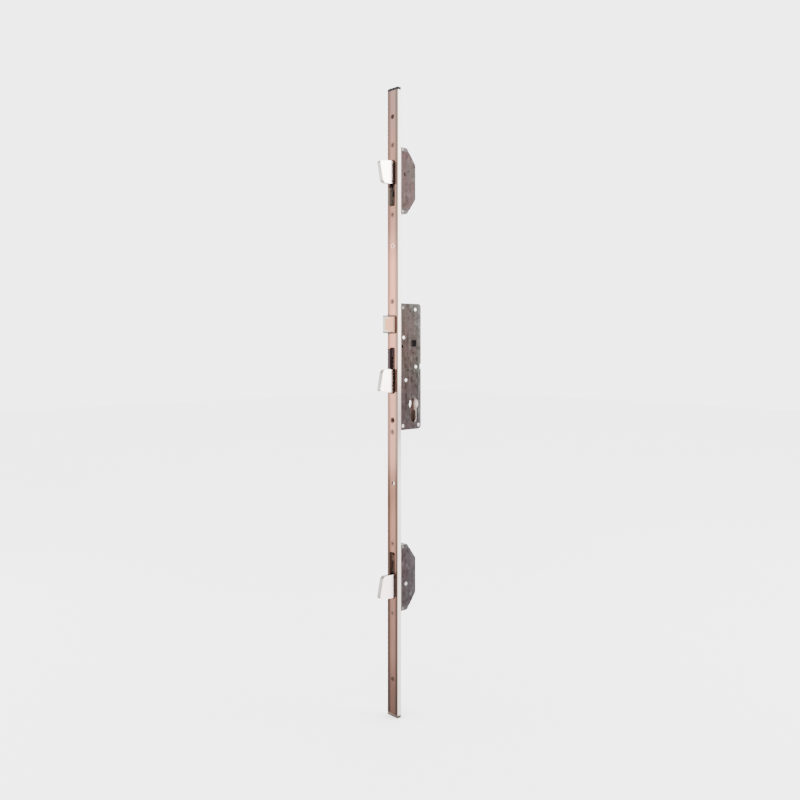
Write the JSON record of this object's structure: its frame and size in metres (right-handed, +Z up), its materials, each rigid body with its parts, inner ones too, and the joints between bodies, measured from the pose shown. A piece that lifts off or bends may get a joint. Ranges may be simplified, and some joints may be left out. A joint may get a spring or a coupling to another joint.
{
  "type": "multipoint door lock",
  "caption": "Long U-section door lock strip with a latch case, two auxiliary cases, a bevelled latch and swinging hook bolts thrown outward.",
  "frame": {"origin": "the handle spindle's axis on the mid-plane of the lock's thickness", "axes": "+X from the faceplate into the door, +Y across the door's thickness, +Z up"},
  "size_m": [0.0754, 0.022, 0.898],
  "materials": {
    "faceplate_steel": "satin",
    "case_steel": "brushed",
    "hook_steel": "polished",
    "latch_metal": "satin",
    "rivet_steel": "polished",
    "screw_steel": "satin",
    "bar_steel": "satin",
    "gear_steel": "satin",
    "spring_steel": "satin",
    "follower_metal": "satin",
    "black_plastic": "matte"
  },
  "bodies": {
    "case": {"faceplate": "faceplate_steel", "top_end_cap": "black_plastic", "bottom_end_cap": "black_plastic", "screw_spacers": "black_plastic", "central_case_body": "case_steel", "central_case_cover": "case_steel", "central_case_rivets": "rivet_steel", "upper_case_body": "case_steel", "upper_case_cover": "case_steel", "upper_case_rivets": "rivet_steel", "lower_case_body": "case_steel", "lower_case_cover": "case_steel", "lower_case_rivets": "rivet_steel", "case_fixing_screws": "screw_steel", "upper_hook_pin": "rivet_steel", "middle_hook_pin": "rivet_steel", "lower_hook_pin": "rivet_steel", "drive_wheel_axle": "screw_steel", "bar_guides": "black_plastic", "spring_plate": "case_steel", "latch_spring": "spring_steel", "follower_spring": "spring_steel"},
    "drive_bar": {"central_slide": "bar_steel", "central_rack": "gear_steel", "upper_drive_bar": "bar_steel", "upper_hook_rack": "gear_steel", "lower_drive_bar": "bar_steel", "lower_hook_rack": "gear_steel", "bar_couplings": "bar_steel", "coupling_rivets": "rivet_steel"},
    "upper_hook": {"upper_hook_bolt": "hook_steel", "upper_hook_gear": "gear_steel"},
    "middle_hook": {"middle_hook_bolt": "hook_steel", "middle_hook_gear": "gear_steel"},
    "lower_hook": {"lower_hook_bolt": "hook_steel", "lower_hook_gear": "gear_steel"},
    "drive_wheel": {"drive_wheel": "gear_steel"},
    "latch": {"latch_head": "latch_metal", "latch_stem": "gear_steel"},
    "follower": {"follower": "follower_metal"}
  },
  "joints": [
    {"name": "drive_bar_slide", "type": "slide", "parent": "case", "child": "drive_bar", "axis": [0, 0, 1], "range_m": [0, 0.01413]},
    {"name": "upper_hook_swing", "type": "hinge", "parent": "case", "child": "upper_hook", "pos_m": [-0.016, 0, 0.243], "axis": [0, -1, 0], "range_deg": [0, 90]},
    {"name": "middle_hook_swing", "type": "hinge", "parent": "case", "child": "middle_hook", "pos_m": [-0.016, 0, -0.053], "axis": [0, 1, 0], "range_deg": [0, 90]},
    {"name": "lower_hook_swing", "type": "hinge", "parent": "case", "child": "lower_hook", "pos_m": [-0.016, 0, -0.3455], "axis": [0, 1, 0], "range_deg": [0, 90]},
    {"name": "drive_wheel_turn", "type": "hinge", "parent": "case", "child": "drive_wheel", "pos_m": [-0.016, 0, -0.074], "axis": [0, 1, 0], "range_deg": [0, 90]},
    {"name": "follower_turn", "type": "hinge", "parent": "case", "child": "follower", "pos_m": [0, 0, 0], "axis": [0, 1, 0], "range_deg": [0, 42], "stiffness_Nm_per_rad": 0.2, "springref_deg": -28.65, "deforming": ["follower_spring"]},
    {"name": "latch_slide", "type": "slide", "parent": "case", "child": "latch", "axis": [1, 0, 0], "range_m": [0, 0.0136], "stiffness_N_per_m": 300, "springref_m": -0.015, "deforming": ["latch_spring"]}
  ],
  "couplings": [
    {"joint": "upper_hook_swing", "follows": "drive_bar_slide", "rad_per_m": 111.11},
    {"joint": "middle_hook_swing", "follows": "drive_bar_slide", "rad_per_m": 111.11},
    {"joint": "lower_hook_swing", "follows": "drive_bar_slide", "rad_per_m": 111.11},
    {"joint": "drive_wheel_turn", "follows": "drive_bar_slide", "rad_per_m": 111.11},
    {"joint": "follower_turn", "follows": "latch_slide", "rad_per_m": 53.899}
  ]
}
